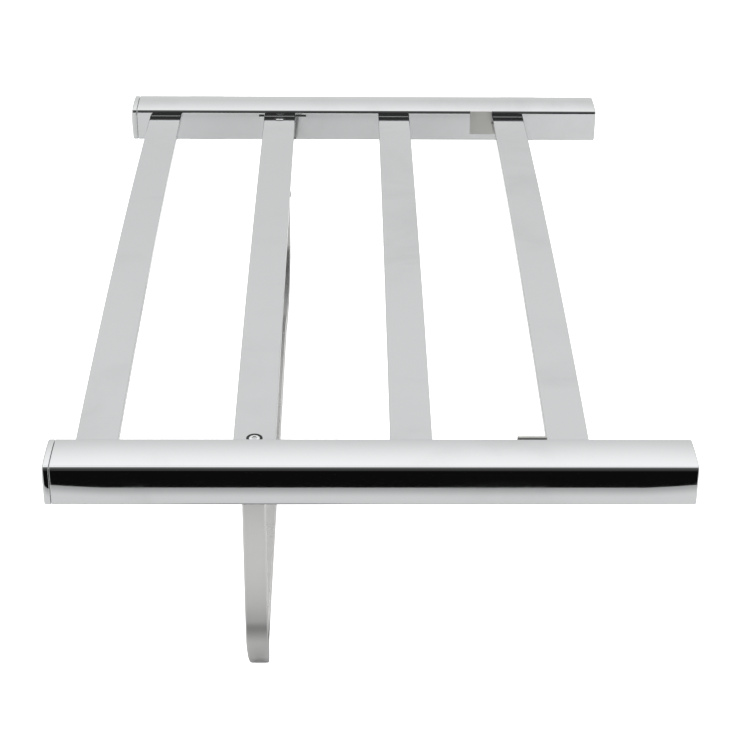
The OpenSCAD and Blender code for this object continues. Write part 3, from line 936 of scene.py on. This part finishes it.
# Each row is a CAD node, its body, its material and the bevel's width in millimetres.
SMALL = [
    ("wall_bracket_left", "wall", chrome, 0.35), ("wall_bracket_right", "wall", chrome, 0.35),
    ("hinge_pin_left", "wall", steel_dark, 0.3), ("hinge_pin_right", "wall", steel_dark, 0.3),
    ("hinge_circlips", "wall", steel_dark, 0.12),
    ("rail_lug_left", "rack", chrome, 0.3), ("rail_lug_right", "rack", chrome, 0.3),
    ("angle_plate_front", "rack", satin, 0.25), ("angle_plate_rear", "rack", satin, 0.25),
    ("bow_bracket_front", "rack", chrome, 0.3), ("bow_bracket_rear", "rack", chrome, 0.3),
    ("bow_pin_front", "rack", steel_dark, 0.2), ("bow_pin_rear", "rack", steel_dark, 0.2),
    ("bow_washers", "rack", nylon, 0.15),
    ("buffer_stem", "bow", chrome, 0.3), ("buffer_nut", "bow", chrome, 0.3),
    ("buffer_pad", "bow", rubber, 0.6),
]
for node, body, material, width in SMALL:
    piece = bevelled(node, body, material, width * MM)
    print(piece.name, triangles(piece))

# %% [markdown]
# ## The studio
# A pale table that ends in front of the rack, a white backdrop behind it, and a soft box
# overhead. The side the camera stands on is dark, as a studio is, and gives the chrome its
# black lines. The table's front edge is what splits the front rail's face into black above
# and pale below. The table is a plain sheet, because only its shades matter: the chrome
# mirrors them, and they are worked out in its material.

# %% The table's place and shades

table_z = bow_lo.z - 0.4 * MM
table_front = -0.706
table_fade = 0.03  # from the front edge, how far its darker tone reaches
front_tone, table_tone = 0.45, 0.78
table_glow = 0.8  # what the camera sees on top of the lamp's light
# A soft shade in front of the bow's foot, and its contact shadow, by distance along Y.
foot_shade = [
    (-0.62, 1.0), (-0.575, 0.9), (-0.55, 0.6), (-0.53, 0.25), (-0.512, 0.6), (-0.495, 1.0),
    (-0.468, 1.0), (-0.45, 0.35), (-0.42, 0.12), (-0.40, 1.0),
]
foot_side = (0.02, 0.07)  # over these distances beside the bow, the shade fades out
foot_reach = (0.16, 0.24)  # over these lengths of a mirrored ray, it fades out too
print("table at z =", round(table_z * 1000, 1), "mm")

# %% Nodes for the studio


def fill_ramp(ramp, stops):
    """Gives a Color Ramp node its greys, from (position, grey) pairs in rising order."""
    elements = ramp.color_ramp.elements
    while len(elements) > 1:
        elements.remove(elements[0])
    for i, (at, grey) in enumerate(stops):
        item = elements[0] if i == 0 else elements.new(at)
        item.position = at
        item.color = (grey, grey, grey, 1)


def foot_shadow(tree, split, path):
    """The shade round the bow's foot, which only the bow beside it mirrors."""
    first, last = foot_shade[0][0], foot_shade[-1][0]
    along = remap(tree, (-500, 400), split.outputs["Y"], (first, last))
    shade = add_node(tree, "ShaderNodeValToRGB", (-300, 400), {"Fac": along})
    fill_ramp(shade, [((y - first) / (last - first), grey) for y, grey in foot_shade])
    offset = maths(tree, "SUBTRACT", (-500, 650), split.outputs["X"], bow_x)
    across = maths(tree, "ABSOLUTE", (-350, 650), offset)
    beside = remap(tree, (-200, 650), across, foot_side, smooth=True)
    far = remap(tree, (-200, 850), path.outputs["Ray Length"], foot_reach, smooth=True)
    apart = maths(tree, "MAXIMUM", (-100, 650), beside, far)
    clear = maths(tree, "MAXIMUM", (0, 650), apart, path.outputs["Is Camera Ray"])
    return mixed(tree, (0, 450), "MIX", clear, shade.outputs["Color"], (1, 1, 1, 1))


print("studio nodes ready")

# %% The table


def table_material():
    """Pale and matt, and darker towards its front edge. The camera sees it near white."""
    mat, tree, _ = new_material("studio_table")
    tree.nodes.clear()
    coords = add_node(tree, "ShaderNodeTexCoord", (-900, 0))
    split = add_node(tree, "ShaderNodeSeparateXYZ", (-700, 0), {0: coords.outputs["Object"]})
    path = add_node(tree, "ShaderNodeLightPath", (-500, -300))
    fade = table_front, table_front + table_fade
    tones = front_tone, table_tone
    fall = remap(tree, (-500, 0), split.outputs["Y"], fade, tones, smooth=True)
    shown = mixed(tree, (150, 300), "MULTIPLY", 1.0, fall, foot_shadow(tree, split, path))
    matt = add_node(tree, "ShaderNodeBsdfDiffuse", (200, 150), {"Color": shown})
    seen = maths(tree, "MULTIPLY", (-250, -250), path.outputs["Is Camera Ray"], table_glow)
    glow = add_node(tree, "ShaderNodeEmission", (0, -200), {"Strength": seen})
    both = add_node(tree, "ShaderNodeAddShader", (350, 0), {
        0: matt.outputs[0], 1: glow.outputs[0],
    })
    # From below, the sheet isn't there.
    below = add_node(tree, "ShaderNodeNewGeometry", (200, 350)).outputs["Backfacing"]
    nothing = add_node(tree, "ShaderNodeBsdfTransparent", (350, -200))
    side = add_node(tree, "ShaderNodeMixShader", (520, 0), {
        "Fac": below, 1: both.outputs[0], 2: nothing.outputs[0],
    })
    add_node(tree, "ShaderNodeOutputMaterial", (700, 0), {"Surface": side.outputs[0]})
    return mat


def flat_sheet(name, x0, x1, y0, y1, z, material):
    """A flat stage sheet."""
    mesh = bpy.data.meshes.new(name)
    mesh.from_pydata([(x0, y0, z), (x1, y0, z), (x1, y1, z), (x0, y1, z)], [], [(0, 1, 2, 3)])
    mesh.materials.append(material)
    obj = new_object(name, mesh)
    return obj


table = flat_sheet("studio_table", -2.5, 2.5, table_front, 3.0, table_z, table_material())
print("table from y =", table_front, "m to 3 m")

# %% [markdown]
# ## The surroundings
# Chrome mirrors the whole room. Panels made of meshes could stand round the rack, but they
# would come into the picture in other views, so the room is the world instead. A ramp gives
# its light by the angle round the rack, seen from the side: from the dark front, underneath
# to the backdrop, and over the top back to the front. Pale panels stand at both sides. The
# camera itself sees plain white.

# %% The world


def studio_world(stops, panel, limit):
    """Light and dark by the angle from the backdrop, over the top, to the front.

    panel and limit are (start, full, level), where start and full say how far to the side
    a direction points, from 0 to 1. At the sides, the panel lightens what is dark, and the
    limit holds down what is brighter than its level."""
    world = bpy.data.worlds.new("studio")
    bpy.context.scene.world = world
    world.use_nodes = True
    tree = world.node_tree
    tree.nodes.clear()
    way = add_node(tree, "ShaderNodeTexCoord", (-900, 0)).outputs["Generated"]
    split = add_node(tree, "ShaderNodeSeparateXYZ", (-700, 0), {0: way})
    turn = maths(tree, "ARCTAN2", (-500, 0), split.outputs["Z"], split.outputs["Y"])
    unit = remap(tree, (-300, 0), turn, (-math.pi, math.pi))
    ramp = add_node(tree, "ShaderNodeValToRGB", (-100, 0), {"Fac": unit})
    peak = max(grey for _, grey in stops)
    fill_ramp(ramp, [((angle + 180) / 360, grey / peak) for angle, grey in stops])
    aside = maths(tree, "ABSOLUTE", (-500, -250), split.outputs["X"])
    least = remap(tree, (-300, -250), aside, panel[:2], (0.0, panel[2] / peak), smooth=True)
    most = remap(tree, (-300, -550), aside, limit[:2], (1.0, limit[2] / peak), smooth=True)
    lit = mixed(tree, (150, 0), "LIGHTEN", 1.0, ramp.outputs["Color"], least)
    held = mixed(tree, (300, 0), "DARKEN", 1.0, lit, most)
    around = add_node(tree, "ShaderNodeBackground", (450, 0), {
        "Color": held, "Strength": peak,
    })
    white = add_node(tree, "ShaderNodeBackground", (450, -200), {"Color": (1, 1, 1, 1)})
    path = add_node(tree, "ShaderNodeLightPath", (450, 350))
    mix = add_node(tree, "ShaderNodeMixShader", (650, 0), {
        "Fac": path.outputs["Is Camera Ray"], 1: around.outputs[0], 2: white.outputs[0],
    })
    add_node(tree, "ShaderNodeOutputWorld", (850, 0), {"Surface": mix.outputs[0]})
    return world


# Each stop is an angle in degrees and the light there. The backdrop is at 0, straight up
# is at 90, the front is at 180 and -180, and straight down is at -90.
FRONT_BELOW = [(-180, 0.07), (-170, 0.06), (-163, 0.006), (-94, 0.006)]
BACKDROP = [
    (-88, 0.85), (0, 0.93), (10, 0.90), (18, 0.90), (24, 1.02), (30, 1.18), (36, 1.33),
    (43, 1.45), (48, 1.48), (50.5, 1.45),
]
GAP = [(52, 0.6), (60, 0.5)]
OVERHEAD = [(62, 1.65), (82, 1.65), (87, 1.05), (90, 0.95)]
FRONT_ABOVE = [
    (97, 0.4), (103, 0.25), (125, 0.16), (145, 0.09), (160, 0.06), (175, 0.04), (180, 0.07),
]
stops = FRONT_BELOW + BACKDROP + GAP + OVERHEAD + FRONT_ABOVE
studio_world(stops, panel=(0.34, 0.6, 0.88), limit=(0.45, 0.8, 0.72))
print("surroundings:", len(stops), "stops")

# %% [markdown]
# ## The soft box
# The rubber, the nylon and the table are matt, so they need a lamp. A large area lamp gives
# soft shadows. It is hidden from mirrors, because a lamp that hangs so near would show in
# the chrome as a hard white patch.

# %% The lamp


def soft_box(name, place, aim, size_x, size_y, watts):
    """A rectangular area lamp that faces a point and isn't seen in the chrome."""
    lamp = bpy.data.lights.new(name, "AREA")
    lamp.shape = "RECTANGLE"
    lamp.size = size_x
    lamp.size_y = size_y
    lamp.energy = watts
    obj = new_object(name, lamp)
    obj.location = place
    obj.rotation_euler = (Vector(aim) - Vector(place)).to_track_quat("-Z", "Y").to_euler()
    obj.visible_glossy = False
    return obj


soft_box("overhead", (0.1, -0.2, 1.35), (0, -0.3, 0), size_x=1.7, size_y=0.6, watts=14.0)
print("lamp ready")

# %% [markdown]
# ## The camera
# A long lens, high in front of the rack and a little right of the second slat. Its place
# was worked out from the slats' edges, which all run to one vanishing point. A Track To
# constraint could aim it, but it can't hold the small roll that the view has.

# %% Camera

SENSOR = 36.0


def aim_camera(place, yaw, pitch, roll, lens):
    """A camera at a place, turned by yaw, tipped down by pitch, then rolled."""
    forward = Vector((math.sin(yaw) * math.cos(pitch), math.cos(yaw) * math.cos(pitch),
                      -math.sin(pitch)))
    right = Vector((math.cos(yaw), -math.sin(yaw), 0))
    up = right.cross(forward)
    rolled_right = right * math.cos(roll) + up * math.sin(roll)
    rolled_up = -right * math.sin(roll) + up * math.cos(roll)
    data = bpy.data.cameras.new("camera")
    data.lens = lens
    data.sensor_width = SENSOR
    data.clip_start = 0.05
    data.clip_end = 20
    obj = new_object("camera", data)
    turn = Matrix((rolled_right, rolled_up, -forward)).transposed()
    obj.matrix_world = Matrix.Translation(place) @ turn.to_4x4()
    bpy.context.scene.camera = obj
    return obj


# The view is 755 units wide at 2000 units from the camera.
focal_length = SENSOR * 2000 / 755
camera_place = Vector((-0.0108, -1.2728, 0.5079))
aim_camera(camera_place, yaw=0.018, pitch=0.509, roll=0.010, lens=focal_length)
bpy.context.scene.view_settings.view_transform = "Standard"
print("camera: lens of", round(focal_length, 1), "mm")
